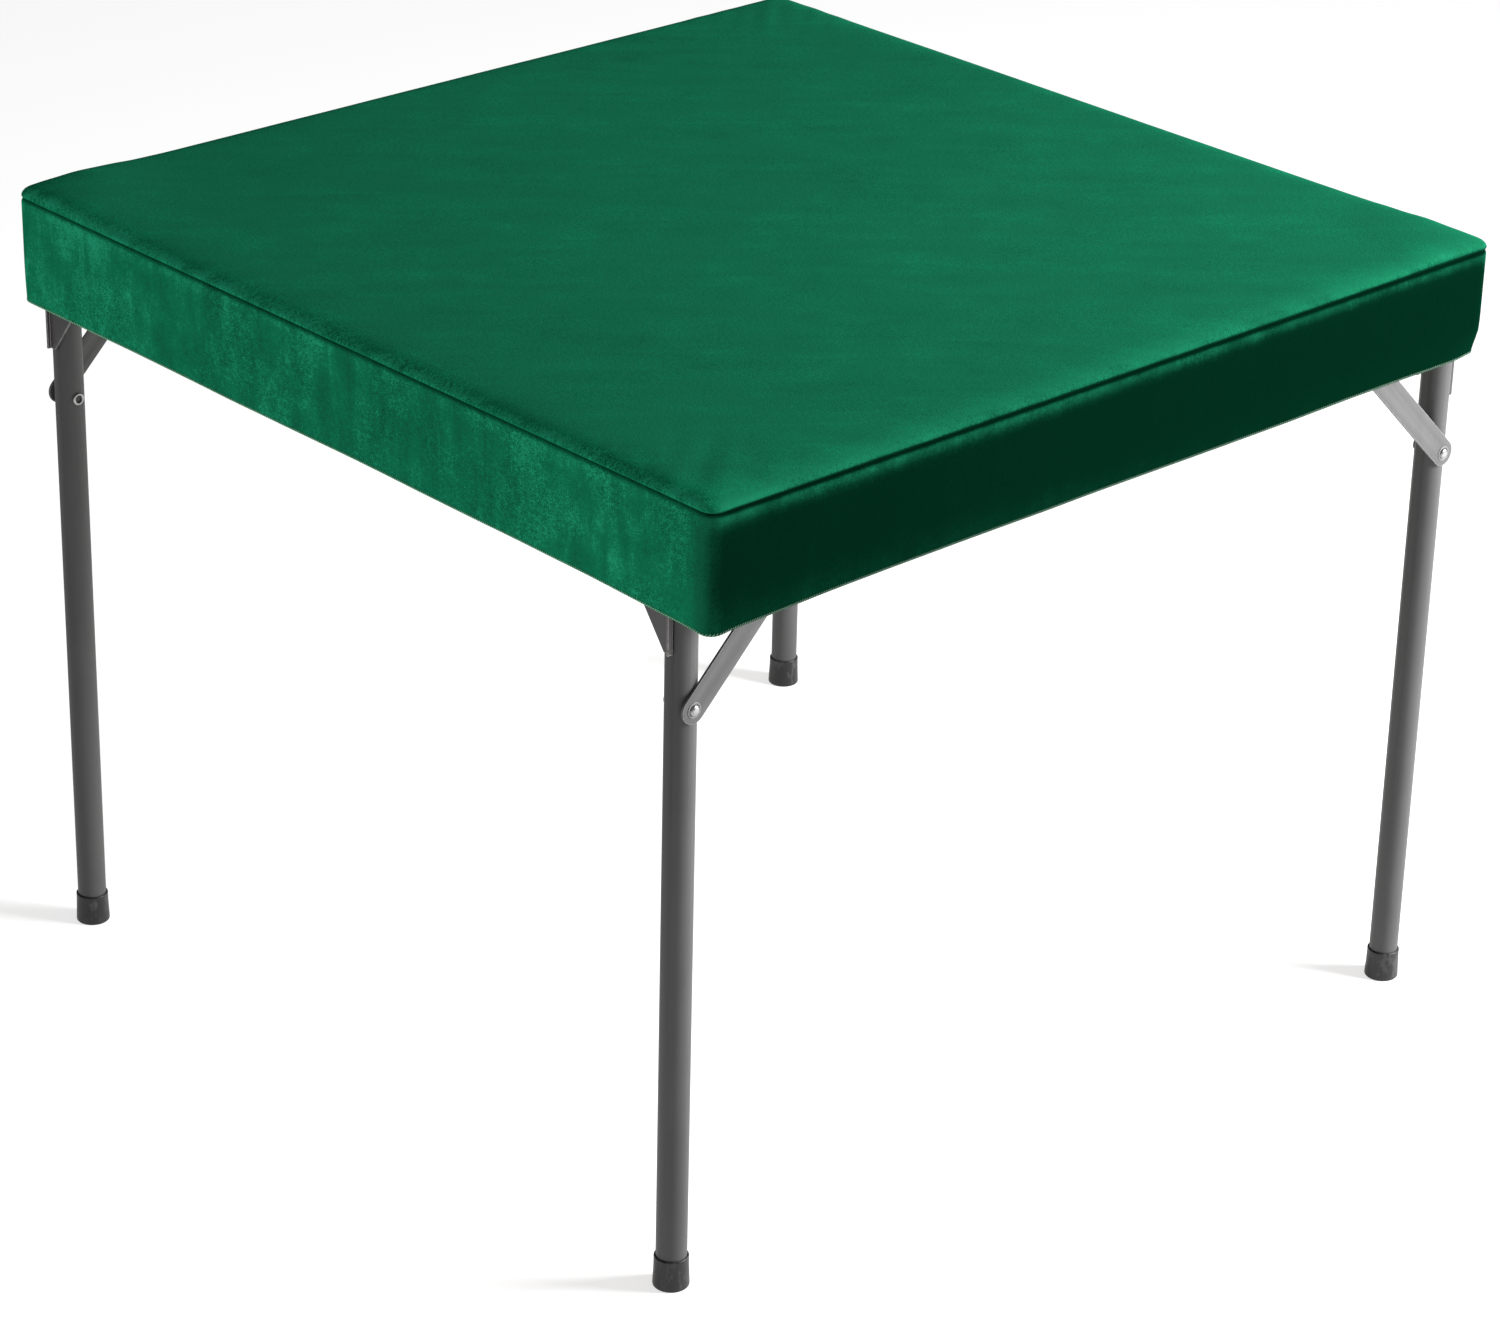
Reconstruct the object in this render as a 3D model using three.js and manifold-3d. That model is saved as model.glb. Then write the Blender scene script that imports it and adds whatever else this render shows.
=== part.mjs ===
// Folding-leg card table wearing a fitted velvet cover.
// Millimetres, +Z up. The origin is on the floor under the middle of the top, and the front edge faces -Y.
// Each leg swings in under the top about a pin that runs along Y, towards the middle of the table.
// The two legs of one edge lie side by side when folded, so one of them stands further in.

import * as THREE from 'three';
import { mergeVertices } from 'three/addons/utils/BufferGeometryUtils.js';
import Module from 'manifold-3d';

const wasm = await Module();
wasm.setup();

// Overall sizes
const COVER_SIZE = 880; // outside of the cover, both ways
const TABLE_HEIGHT = 705; // floor to the top of the cover
const FIT = 0.3; // gap left between pieces that touch
const RUN = 0.4; // gap beside pieces that slide or turn

// Fitted cover
const COVER_THICKNESS = 2;
const COVER_CORNER_RADIUS = 22;
const COVER_EDGE_RADIUS = 10; // roll of the top panel down to the seam
const SKIRT_DEPTH = 93; // seam to hem
const HEM_TAPE_HEIGHT = 8;
const HEM_TAPE_THICKNESS = 1;

// Padded top, from the cover down
const VINYL_THICKNESS = 1;
const FOAM_THICKNESS = 5;
const BOARD_THICKNESS = 5;

// Apron of sheet steel under the edge of the board
const RAIL_THICKNESS = 1.5;
const RAIL_DEPTH = 56;
const RAIL_FLANGE = 16;

// Legs
const TUBE_DIAMETER = 25.4;
const TUBE_WALL = 1.2;
const PIVOT_DROP = 27; // underside of the board to the pivot
const PIN_RADIUS = 3;
const PIN_HEAD_RADIUS = 5.5;
const PIN_HEAD_HEIGHT = 2;
const SPACER_RADIUS = 6;
const LEG_PAIR_STEP = 38; // between the two leg lines of one edge

// Rubber feet
const FOOT_HEIGHT = 28;
const FOOT_WALL = 1.2;
const FOOT_FLARE = 0.8; // extra radius at the floor
const FOOT_SOLE = 5;
const FOOT_EDGE = 1.5;

// Strap: a flat bar riveted to the leg, with a pin that runs in the track plate
const STRAP_LENGTH = 200; // between the two holes
const STRAP_WIDTH = 23;
const STRAP_THICKNESS = 2.2;
const RIVET_DROP = 150; // pivot to strap rivet
const RIVET_RADIUS = 3.5;
const RIVET_HEAD_RADIUS = 4.6;
const RIVET_HEAD_HEIGHT = 2;
const RIVET_FLARE_RADIUS = 5.5;
const RIVET_FLARE_HEIGHT = 1.3;
const RIVET_HOLLOW_RADIUS = 2.4;
const RIVET_HOLLOW_DEPTH = 6;
const TRACK_START_DROP = 9; // pivot level to the track pin, legs open
const TRACK_PIN_SHOULDER = 5.5;

// Sheet-steel brackets of each leg
const PLATE_THICKNESS = 2;
const PLATE_PAST_PIVOT = 7; // metal outboard of the pivot hole
const PLATE_MARGIN = 14; // metal round the track slot
const MOUNT_PLATE_THICKNESS = 2;
const MOUNT_PLATE_MARGIN = 5;
const GUSSET_TOP_WIDTH = 99;
const GUSSET_OVERLAP = 4.7; // past the leg axis, outboard
const GUSSET_TIP_BELOW_HEM = 42;
const GUSSET_TIP_WIDTH = 8;
const GUSSET_LIP = 3;
const CHEEK_TOP_WIDTH = 95;
const CHEEK_TIP_BELOW_HEM = 23;
const CHEEK_TIP_WIDTH = 9;

// Faceting
const CORNER_STEPS = 6;
const EDGE_STEPS = 4;
const ROUND_SIDES = 40;
const SMALL_SIDES = 20;
const SLOT_STEPS = 14;

// Levels
const coverTop = TABLE_HEIGHT;
const seamLevel = coverTop - COVER_EDGE_RADIUS;
const hemLevel = seamLevel - SKIRT_DEPTH;
const vinylTop = coverTop - COVER_THICKNESS - FIT;
const foamTop = vinylTop - VINYL_THICKNESS - FIT;
const boardTop = foamTop - FOAM_THICKNESS - FIT;
const boardBottom = boardTop - BOARD_THICKNESS;
const railTop = boardBottom - FIT;
const bracketTop = railTop - MOUNT_PLATE_THICKNESS - FIT;
const pivotLevel = boardBottom - PIVOT_DROP;

// Plan sizes, as half widths
const coverHalf = COVER_SIZE / 2;
const skirtInside = coverHalf - COVER_THICKNESS;
const railOutside = skirtInside - RUN;
const railInside = railOutside - RAIL_THICKNESS;
const flangeInside = railOutside - RAIL_FLANGE;
const cornerCentre = coverHalf - COVER_CORNER_RADIUS;

// Layers beside a leg, measured outboard from its axis
const tubeRadius = TUBE_DIAMETER / 2;
const tubeEndRadius = tubeRadius + FIT / 3;
const strapInner = tubeRadius + RUN;
const strapOuter = strapInner + STRAP_THICKNESS;
const trackInner = strapOuter + RIVET_HEAD_HEIGHT + 2 * RUN;
const trackOuter = trackInner + PLATE_THICKNESS;
const cheekOuter = -(tubeRadius + FIT);
const cheekInner = cheekOuter - PLATE_THICKNESS;

// Leg axes
const legX = cornerCentre - PLATE_PAST_PIVOT;
const outerLegY = railInside - FIT - trackOuter;
const innerLegY = outerLegY - LEG_PAIR_STEP;

// The strap leans at this angle when the leg is open, and lies flat along the leg when it is folded
const strapRestAngle = Math.asin((RIVET_DROP - TRACK_START_DROP) / STRAP_LENGTH);

const LEGS = [
  { name: 'front_left', sideX: -1, sideY: -1, y: innerLegY },
  { name: 'front_right', sideX: 1, sideY: -1, y: outerLegY },
  { name: 'rear_right', sideX: 1, sideY: 1, y: innerLegY },
  { name: 'rear_left', sideX: -1, sideY: 1, y: outerLegY },
];

const FINISHES = {
  velvet: { color: 0x0f6b48, roughness: 0.95, metalness: 0 },
  elastic: { color: 0x3f9a6d, roughness: 0.9, metalness: 0 },
  vinyl: { color: 0x3b3028, roughness: 0.6, metalness: 0 },
  foam: { color: 0xe8dfc0, roughness: 1, metalness: 0 },
  board: { color: 0x8a6a45, roughness: 0.85, metalness: 0 },
  paintedSteel: { color: 0x6f6f6f, roughness: 0.45, metalness: 0.3 },
  darkSteel: { color: 0x3a3839, roughness: 0.5, metalness: 0.3 },
  brightSteel: { color: 0xc9c9c9, roughness: 0.3, metalness: 0.9 },
  rubber: { color: 0x161616, roughness: 0.8, metalness: 0 },
};

// ---------- closed bodies ----------

// Shares the vertices of a geometry, drops collapsed triangles and turns the faces outwards.
function closedGeometry(source) {
  const bare = new THREE.BufferGeometry();
  bare.setAttribute('position', source.getAttribute('position').clone());
  if (source.index) bare.setIndex(source.index.clone());
  const merged = mergeVertices(bare, 1e-4);
  const corners = Array.from(merged.index.array);
  const kept = [];
  let volume = 0;
  const [a, b, c] = [new THREE.Vector3(), new THREE.Vector3(), new THREE.Vector3()];
  for (let i = 0; i < corners.length; i += 3) {
    const [p, q, r] = corners.slice(i, i + 3);
    if (p === q || q === r || r === p) continue;
    kept.push([p, q, r]);
    const position = merged.getAttribute('position');
    a.fromBufferAttribute(position, p);
    b.fromBufferAttribute(position, q);
    c.fromBufferAttribute(position, r);
    volume += a.dot(b.cross(c));
  }
  merged.setIndex(kept.flatMap(([p, q, r]) => (volume > 0 ? [p, q, r] : [p, r, q])));
  return merged;
}

function toManifold(geometry) {
  const closed = closedGeometry(geometry);
  const vertProperties = new Float32Array(closed.getAttribute('position').array);
  const triVerts = new Uint32Array(closed.index.array);
  return new wasm.Manifold(new wasm.Mesh({ numProp: 3, vertProperties, triVerts }));
}

function fromManifold(manifold) {
  const mesh = manifold.getMesh();
  const geometry = new THREE.BufferGeometry();
  geometry.setAttribute('position', new THREE.BufferAttribute(new Float32Array(mesh.vertProperties), 3));
  geometry.setIndex(Array.from(mesh.triVerts));
  return geometry;
}

function cut(geometry, ...tools) {
  return fromManifold(tools.reduce((body, tool) => body.subtract(toManifold(tool)), toManifold(geometry)));
}

function join(geometry, ...others) {
  return fromManifold(others.reduce((body, other) => body.add(toManifold(other)), toManifold(geometry)));
}

// ---------- shapes shared by several pieces ----------

function roundedSquareRing(half, radius, z) {
  const centre = half - radius;
  const points = [];
  for (let corner = 0; corner < 4; corner += 1) {
    const start = (corner * Math.PI) / 2;
    const signX = corner === 0 || corner === 3 ? 1 : -1;
    const signY = corner < 2 ? 1 : -1;
    for (let step = 0; step <= CORNER_STEPS; step += 1) {
      const angle = start + (step / CORNER_STEPS) * (Math.PI / 2);
      const x = signX * centre + radius * Math.cos(angle);
      const y = signY * centre + radius * Math.sin(angle);
      points.push(new THREE.Vector3(x, y, z));
    }
  }
  return points;
}

// Joins a stack of rings that starts at the upper outside. A stack that isn't a loop is closed at both ends.
function ringBody(rings, isLoop) {
  const count = rings[0].length;
  const points = rings.flat();
  const index = [];
  const bands = isLoop ? rings.length : rings.length - 1;
  for (let band = 0; band < bands; band += 1) {
    const upper = band * count;
    const lower = ((band + 1) % rings.length) * count;
    for (let i = 0; i < count; i += 1) {
      const next = (i + 1) % count;
      index.push(upper + i, lower + i, lower + next, upper + i, lower + next, upper + next);
    }
  }
  if (!isLoop) {
    const last = (rings.length - 1) * count;
    points.push(new THREE.Vector3(0, 0, rings[0][0].z), new THREE.Vector3(0, 0, rings.at(-1)[0].z));
    const [topCentre, bottomCentre] = [points.length - 2, points.length - 1];
    for (let i = 0; i < count; i += 1) {
      const next = (i + 1) % count;
      index.push(topCentre, i, next, bottomCentre, last + next, last + i);
    }
  }
  const geometry = new THREE.BufferGeometry().setFromPoints(points);
  geometry.setIndex(index);
  return geometry;
}

// Rings down the rolled edge of the padded top, at one distance from the roll's centre line.
function rolledEdgeRings(radius, startAngle) {
  const rings = [];
  for (let step = 0; step <= EDGE_STEPS; step += 1) {
    const angle = Math.PI / 2 + (step / EDGE_STEPS) * (startAngle - Math.PI / 2);
    const inset = COVER_EDGE_RADIUS - radius * Math.cos(angle);
    const z = seamLevel + radius * Math.sin(angle);
    rings.push(roundedSquareRing(coverHalf - inset, COVER_CORNER_RADIUS - inset, z));
  }
  return rings;
}

// A flat panel that stands in the plane of the leg's swing, its outboard face at the given place.
function panelAlongX(shape, thickness, outboardFace) {
  const geometry = new THREE.ExtrudeGeometry(shape, { depth: thickness, bevelEnabled: false, curveSegments: 8 });
  geometry.rotateX(Math.PI / 2);
  return geometry.translate(0, outboardFace, 0);
}

// A flat panel that stands across the leg's swing, its outboard face at the given place.
function panelAlongY(shape, thickness, outboardFace) {
  const geometry = new THREE.ExtrudeGeometry(shape, { depth: thickness, bevelEnabled: false });
  const toYZ = new THREE.Matrix4().makeBasis(
    new THREE.Vector3(0, 1, 0),
    new THREE.Vector3(0, 0, 1),
    new THREE.Vector3(1, 0, 0),
  );
  return geometry.applyMatrix4(toYZ).translate(outboardFace, 0, 0);
}

function box(x0, x1, y0, y1, z0, z1) {
  const geometry = new THREE.BoxGeometry(x1 - x0, y1 - y0, z1 - z0);
  return geometry.translate((x0 + x1) / 2, (y0 + y1) / 2, (z0 + z1) / 2);
}

function turned(points, sides) {
  return new THREE.LatheGeometry(points.map(([radius, along]) => new THREE.Vector2(radius, along)), sides);
}

function polygon(points) {
  return new THREE.Shape(points.map(([x, y]) => new THREE.Vector2(x, y)));
}

function roundHole(x, y, radius) {
  return new THREE.Path().absarc(x, y, radius, 0, 2 * Math.PI, true);
}

// ---------- cover and padded top ----------

function coverTopPanel() {
  const outside = rolledEdgeRings(COVER_EDGE_RADIUS, FIT / 2 / COVER_EDGE_RADIUS);
  const insideRadius = COVER_EDGE_RADIUS - COVER_THICKNESS;
  const inside = rolledEdgeRings(insideRadius, FIT / 2 / insideRadius).reverse();
  return ringBody([...outside, ...inside], false);
}

function coverBand(outerHalf, thickness, top, bottom) {
  const radius = COVER_CORNER_RADIUS - (coverHalf - outerHalf);
  const ring = (inset, z) => roundedSquareRing(outerHalf - inset, radius - inset, z);
  return ringBody([ring(0, top), ring(0, bottom), ring(thickness, bottom), ring(thickness, top)], true);
}

function coverSkirt() {
  return coverBand(coverHalf, COVER_THICKNESS, seamLevel - FIT / 2, hemLevel);
}

function coverHemTape() {
  const tapeBottom = hemLevel + FIT;
  return coverBand(skirtInside - FIT, HEM_TAPE_THICKNESS, tapeBottom + HEM_TAPE_HEIGHT, tapeBottom);
}

function vinylTopSheet() {
  const outerRadius = vinylTop - seamLevel;
  const innerRadius = outerRadius - VINYL_THICKNESS;
  const turnIn = (radius, z) => {
    const inset = COVER_EDGE_RADIUS - radius;
    return roundedSquareRing(coverHalf - inset, COVER_CORNER_RADIUS - inset, z);
  };
  const outside = [...rolledEdgeRings(outerRadius, 0), turnIn(outerRadius, boardBottom)];
  const inside = [turnIn(innerRadius, boardBottom), ...rolledEdgeRings(innerRadius, 0).reverse()];
  return ringBody([...outside, ...inside], false);
}

function foamPad() {
  const radius = foamTop - seamLevel;
  const base = boardTop + FIT;
  const outside = rolledEdgeRings(radius, Math.asin((base - seamLevel) / radius));
  return ringBody(outside, false);
}

function topBoard() {
  const inset = COVER_EDGE_RADIUS - (foamTop - seamLevel) + FIT;
  const ring = (z) => roundedSquareRing(coverHalf - inset, COVER_CORNER_RADIUS - inset, z);
  return ringBody([ring(boardTop), ring(boardBottom)], false);
}

// ---------- apron ----------

// An angle rail along the front edge: a web that hangs down and a flange under the board.
function frontRail() {
  const end = cornerCentre - FIT;
  const web = box(-end, end, -railOutside, -railInside, railTop - RAIL_DEPTH, railTop);
  const flange = box(-end, end, -railOutside, -flangeInside, railTop - RAIL_THICKNESS, railTop);
  return join(web, flange);
}

// The rounded web that closes the apron between two rails.
function apronCorner() {
  const outerRadius = railOutside - cornerCentre;
  const shape = new THREE.Shape();
  shape.absarc(0, 0, outerRadius, 0, Math.PI / 2, false);
  shape.absarc(0, 0, outerRadius - RAIL_THICKNESS, Math.PI / 2, 0, true);
  const settings = { depth: RAIL_DEPTH, bevelEnabled: false, curveSegments: CORNER_STEPS };
  const geometry = new THREE.ExtrudeGeometry(shape, settings);
  return geometry.translate(cornerCentre, cornerCentre, railTop - RAIL_DEPTH);
}

// ---------- leg pieces, in the leg's own frame ----------
// The frame's origin is on the pivot. +X points inboard, +Y outboard to the nearest edge, +Z up.

const floorLevel = -pivotLevel;

function pinHole(radius) {
  return new THREE.CylinderGeometry(radius, radius, 2 * TUBE_DIAMETER, SMALL_SIDES);
}

// All that lies above the pivot and outside a half round about it.
function roundEndCutter(radius) {
  const reach = 2 * radius;
  const shape = new THREE.Shape();
  shape.moveTo(-reach, 0);
  shape.lineTo(-radius, 0);
  shape.absarc(0, 0, radius, Math.PI, 0, true);
  shape.lineTo(reach, 0);
  shape.lineTo(reach, reach);
  shape.lineTo(-reach, reach);
  return panelAlongX(shape, 2 * TUBE_DIAMETER, TUBE_DIAMETER);
}

// The upper end is rounded about the pivot, so that it turns clear of the stop gusset.
function legTube() {
  const bottom = floorLevel + FOOT_SOLE + FIT;
  const inner = tubeRadius - TUBE_WALL;
  const outline = [
    [inner, bottom],
    [tubeRadius, bottom],
    [tubeRadius, TUBE_DIAMETER],
    [inner, TUBE_DIAMETER],
    [inner, bottom],
  ];
  const tube = turned(outline, ROUND_SIDES).rotateX(Math.PI / 2);
  const rivetHole = pinHole(RIVET_RADIUS + FIT).translate(0, 0, -RIVET_DROP);
  return cut(tube, roundEndCutter(tubeEndRadius), pinHole(PIN_RADIUS + FIT), rivetHole);
}

function footCap() {
  const bore = tubeRadius + FIT;
  const top = bore + FOOT_WALL;
  const bottom = top + FOOT_FLARE;
  const outline = [
    [0, 0],
    [bottom - FOOT_EDGE, 0],
    [bottom, FOOT_EDGE],
    [top, FOOT_HEIGHT],
    [bore, FOOT_HEIGHT],
    [bore, FOOT_SOLE],
    [0, FOOT_SOLE],
  ];
  return turned(outline, ROUND_SIDES).rotateX(Math.PI / 2).translate(0, 0, floorLevel);
}

function pivotPin() {
  const headFace = cheekInner - FIT;
  const outline = [
    [0, headFace - PIN_HEAD_HEIGHT],
    [PIN_HEAD_RADIUS, headFace - PIN_HEAD_HEIGHT],
    [PIN_HEAD_RADIUS, headFace],
    [PIN_RADIUS, headFace],
    [PIN_RADIUS, trackOuter],
    [0, trackOuter],
  ];
  return turned(outline, SMALL_SIDES);
}

function pivotSpacer() {
  const [from, to] = [tubeRadius + FIT, trackInner - FIT];
  const bore = PIN_RADIUS + FIT;
  const outline = [
    [bore, from],
    [SPACER_RADIUS, from],
    [SPACER_RADIUS, to],
    [bore, to],
    [bore, from],
  ];
  return turned(outline, SMALL_SIDES);
}

// A semi-tubular rivet: domed head over the strap, and a hollow flared end on the other side of the tube.
function strapRivet() {
  const flareFace = -(tubeRadius + RUN);
  const flareEnd = flareFace - RIVET_FLARE_HEIGHT;
  const head = strapOuter + RUN;
  const outline = [
    [0, flareEnd + RIVET_HOLLOW_DEPTH],
    [RIVET_HOLLOW_RADIUS, flareEnd + RIVET_HOLLOW_DEPTH],
    [RIVET_HOLLOW_RADIUS, flareEnd],
    [RIVET_FLARE_RADIUS, flareEnd],
    [RIVET_FLARE_RADIUS, flareFace],
    [RIVET_RADIUS, flareFace],
    [RIVET_RADIUS, head],
    [RIVET_HEAD_RADIUS, head],
    [RIVET_HEAD_RADIUS * 0.92, head + RIVET_HEAD_HEIGHT * 0.45],
    [RIVET_HEAD_RADIUS * 0.6, head + RIVET_HEAD_HEIGHT * 0.85],
    [0, head + RIVET_HEAD_HEIGHT],
  ];
  return turned(outline, SMALL_SIDES).translate(0, 0, -RIVET_DROP);
}

// A flat bar with round ends, from the rivet up and inboard to the track pin.
function strap() {
  const half = STRAP_WIDTH / 2;
  const shape = new THREE.Shape();
  shape.absarc(0, 0, half, Math.PI / 2, (3 * Math.PI) / 2, false);
  shape.absarc(STRAP_LENGTH, 0, half, -Math.PI / 2, Math.PI / 2, false);
  shape.holes.push(roundHole(0, 0, RIVET_RADIUS + FIT), roundHole(STRAP_LENGTH, 0, PIN_RADIUS + FIT));
  const bar = panelAlongX(shape, STRAP_THICKNESS, strapOuter);
  return bar.rotateY(-strapRestAngle).translate(0, 0, -RIVET_DROP);
}

// A point of the track: where the strap's pin is when the leg has swung in by this angle.
function trackPoint(swing) {
  const lean = strapRestAngle * (1 - swing / (Math.PI / 2));
  const x = RIVET_DROP * Math.sin(swing) + STRAP_LENGTH * Math.cos(lean);
  const z = -RIVET_DROP * Math.cos(swing) + STRAP_LENGTH * Math.sin(lean);
  return new THREE.Vector2(x, z);
}

function trackPin() {
  const pinEnd = trackOuter - FIT;
  const shoulder = [strapOuter + FIT, trackInner - FIT];
  const outline = [
    [0, strapInner + FIT / 2],
    [PIN_RADIUS, strapInner + FIT / 2],
    [PIN_RADIUS, shoulder[0]],
    [TRACK_PIN_SHOULDER, shoulder[0]],
    [TRACK_PIN_SHOULDER, shoulder[1]],
    [PIN_RADIUS, shoulder[1]],
    [PIN_RADIUS, pinEnd],
    [0, pinEnd],
  ];
  const start = trackPoint(0);
  return turned(outline, SMALL_SIDES).translate(start.x, 0, start.y);
}

// The slot is the track with a round end at each stop.
function trackSlot(halfWidth) {
  const path = [];
  for (let step = 0; step <= SLOT_STEPS; step += 1) {
    path.push(trackPoint((step / SLOT_STEPS) * (Math.PI / 2)));
  }
  const direction = (i) => {
    const before = path[Math.max(i - 1, 0)];
    const after = path[Math.min(i + 1, path.length - 1)];
    return after.clone().sub(before).angle();
  };
  const beside = (i, turn) => {
    const angle = direction(i) + turn;
    return new THREE.Vector2(Math.cos(angle), Math.sin(angle)).multiplyScalar(halfWidth).add(path[i]);
  };
  const last = path.length - 1;
  const quarter = Math.PI / 2;
  const upper = path.map((_, i) => beside(i, quarter));
  const lower = path.map((_, i) => beside(i, -quarter)).reverse();
  const farEnd = [0.5, 0, -0.5].map((share) => beside(last, share * quarter));
  const nearEnd = [-1.5, -2, -2.5].map((share) => beside(0, share * quarter));
  return new THREE.Path([...upper, ...farEnd, ...lower, ...nearEnd]);
}

// The plate outboard of the leg: it holds the pivot pin and guides the strap's pin in a curved slot.
function trackPlate() {
  const top = bracketTop - pivotLevel;
  const bottom = [];
  for (let step = 0; step <= SLOT_STEPS; step += 1) {
    const point = trackPoint((step / SLOT_STEPS) * (Math.PI / 2));
    bottom.push([point.x, point.y - PLATE_MARGIN]);
  }
  const end = trackPoint(Math.PI / 2);
  const outline = [
    [-PLATE_PAST_PIVOT, top],
    [-PLATE_PAST_PIVOT, -PLATE_MARGIN],
    ...bottom,
    [end.x + PLATE_MARGIN, end.y - PLATE_MARGIN],
    [end.x + PLATE_MARGIN, top],
  ];
  const shape = polygon(outline);
  shape.holes.push(roundHole(0, 0, PIN_RADIUS + FIT), trackSlot(PIN_RADIUS + RUN));
  return panelAlongX(shape, PLATE_THICKNESS, trackOuter);
}

// The plate inboard of the leg that holds the head of the pivot pin and runs down to a point.
function pivotCheek() {
  const top = bracketTop - pivotLevel;
  const tip = hemLevel - CHEEK_TIP_BELOW_HEM - pivotLevel;
  const outer = -tubeRadius;
  const shape = polygon([
    [outer, top],
    [outer, tip + CHEEK_TIP_BELOW_HEM],
    [CHEEK_TIP_WIDTH / 2, tip],
    [CHEEK_TIP_WIDTH, tip],
    [CHEEK_TOP_WIDTH, top],
  ]);
  shape.holes.push(roundHole(0, 0, PIN_RADIUS + FIT));
  return panelAlongX(shape, PLATE_THICKNESS, cheekOuter);
}

// The stop that the open leg leans against: a tapered plate across the swing, with a lip on its outboard edge.
function stopGusset() {
  const top = bracketTop - pivotLevel;
  const tip = hemLevel - GUSSET_TIP_BELOW_HEM - pivotLevel;
  const face = -(tubeRadius + FIT + PLATE_THICKNESS);
  const shape = polygon([
    [GUSSET_OVERLAP, tip],
    [GUSSET_OVERLAP, top],
    [-GUSSET_TOP_WIDTH, top],
    [GUSSET_OVERLAP - GUSSET_TIP_WIDTH, tip],
  ]);
  const plate = panelAlongY(shape, PLATE_THICKNESS, face);
  const lipInner = GUSSET_OVERLAP - PLATE_THICKNESS;
  const lip = box(face - GUSSET_LIP, face + PLATE_THICKNESS, lipInner, GUSSET_OVERLAP, tip, top);
  return join(plate, lip);
}

// The plate under the board that the leg's brackets are welded to.
function mountPlate(leg) {
  const edge = flangeInside - FIT;
  const inboard = GUSSET_TOP_WIDTH + MOUNT_PLATE_MARGIN;
  const bottom = railTop - MOUNT_PLATE_THICKNESS - pivotLevel;
  return box(legX - edge, inboard, -inboard, edge - leg.y, bottom, railTop - pivotLevel);
}

// ---------- assembly ----------

function piece(name, geometry, finish) {
  const closed = closedGeometry(geometry);
  closed.computeVertexNormals();
  const mesh = new THREE.Mesh(closed, new THREE.MeshStandardMaterial(finish));
  mesh.name = name;
  return mesh;
}

// Puts a piece made in the leg's frame at one of the four legs, mirrored where that corner needs it.
function atLeg(geometry, leg) {
  geometry.scale(-leg.sideX, leg.sideY, 1);
  return geometry.translate(leg.sideX * legX, leg.sideY * leg.y, pivotLevel);
}

function coveredTop() {
  const group = new THREE.Group();
  group.add(piece('cover_top_panel', coverTopPanel(), FINISHES.velvet));
  group.add(piece('cover_skirt', coverSkirt(), FINISHES.velvet));
  group.add(piece('cover_hem_elastic', coverHemTape(), FINISHES.elastic));
  group.add(piece('vinyl_top_sheet', vinylTopSheet(), FINISHES.vinyl));
  group.add(piece('foam_pad', foamPad(), FINISHES.foam));
  group.add(piece('top_board', topBoard(), FINISHES.board));
  return group;
}

function apron() {
  const group = new THREE.Group();
  ['front_rail', 'right_rail', 'rear_rail', 'left_rail'].forEach((name, quarter) => {
    const geometry = frontRail().rotateZ((quarter * Math.PI) / 2);
    group.add(piece(name, geometry, FINISHES.darkSteel));
  });
  ['rear_right', 'rear_left', 'front_left', 'front_right'].forEach((name, quarter) => {
    const geometry = apronCorner().rotateZ((quarter * Math.PI) / 2);
    group.add(piece(`${name}_apron_corner`, geometry, FINISHES.darkSteel));
  });
  return group;
}

function legBrackets(leg) {
  const group = new THREE.Group();
  const add = (name, geometry, finish) => group.add(piece(`${leg.name}_${name}`, atLeg(geometry, leg), finish));
  add('mount_plate', mountPlate(leg), FINISHES.darkSteel);
  add('track_plate', trackPlate(), FINISHES.darkSteel);
  add('pivot_cheek', pivotCheek(), FINISHES.darkSteel);
  add('stop_gusset', stopGusset(), FINISHES.darkSteel);
  add('pivot_pin', pivotPin(), FINISHES.brightSteel);
  add('pivot_spacer', pivotSpacer(), FINISHES.brightSteel);
  return group;
}

function foldingLeg(leg) {
  const group = new THREE.Group();
  const add = (name, geometry, finish) => group.add(piece(`${leg.name}_${name}`, atLeg(geometry, leg), finish));
  add('leg_tube', legTube(), FINISHES.paintedSteel);
  add('foot_cap', footCap(), FINISHES.rubber);
  add('strap_rivet', strapRivet(), FINISHES.brightSteel);
  add('strap', strap(), FINISHES.paintedSteel);
  add('track_pin', trackPin(), FINISHES.brightSteel);
  return group;
}

const cardTable = new THREE.Group();
cardTable.add(coveredTop(), apron());
for (const leg of LEGS) cardTable.add(legBrackets(leg), foldingLeg(leg));

export default cardTable;
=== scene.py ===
import math

import bpy
from mathutils import Matrix, Vector, noise


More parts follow.
